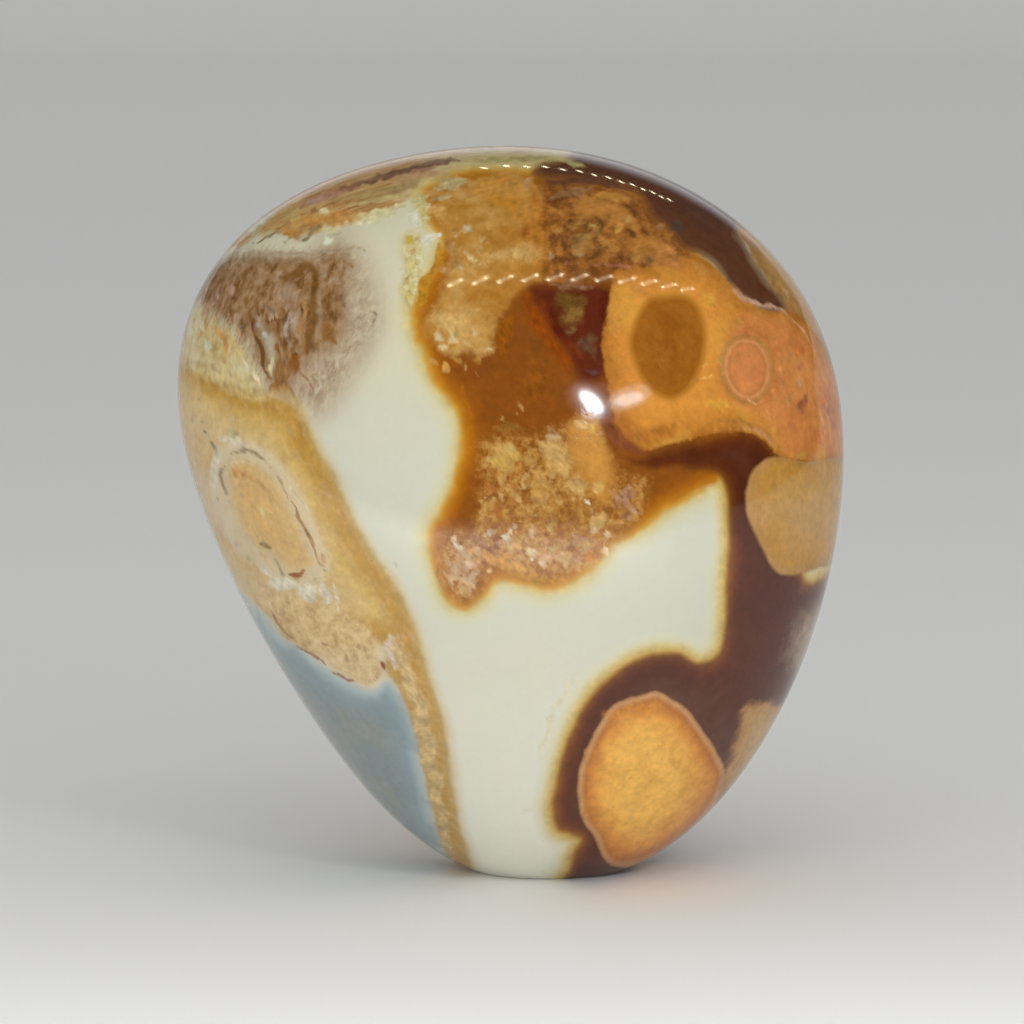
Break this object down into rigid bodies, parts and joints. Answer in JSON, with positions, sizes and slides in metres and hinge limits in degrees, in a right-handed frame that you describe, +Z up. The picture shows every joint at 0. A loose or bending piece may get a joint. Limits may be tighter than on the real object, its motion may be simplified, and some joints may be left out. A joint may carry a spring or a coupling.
{
  "type": "polychrome jasper freeform",
  "caption": "Polished natural stone in a rounded, downward tapering freeform, domed in front and flatter behind, that stands upright on a small flat for display.",
  "frame": {"origin": "on the ground, under the middle of the stone's bounding box", "axes": "+Z up along the stone's height, +X across its width, -Y is where the broad domed face looks"},
  "size_m": [0.1002, 0.0664, 0.1088],
  "materials": {
    "polished_jasper": "polished"
  },
  "bodies": {
    "root": {"jasper_freeform": "polished_jasper"}
  },
  "joints": []
}
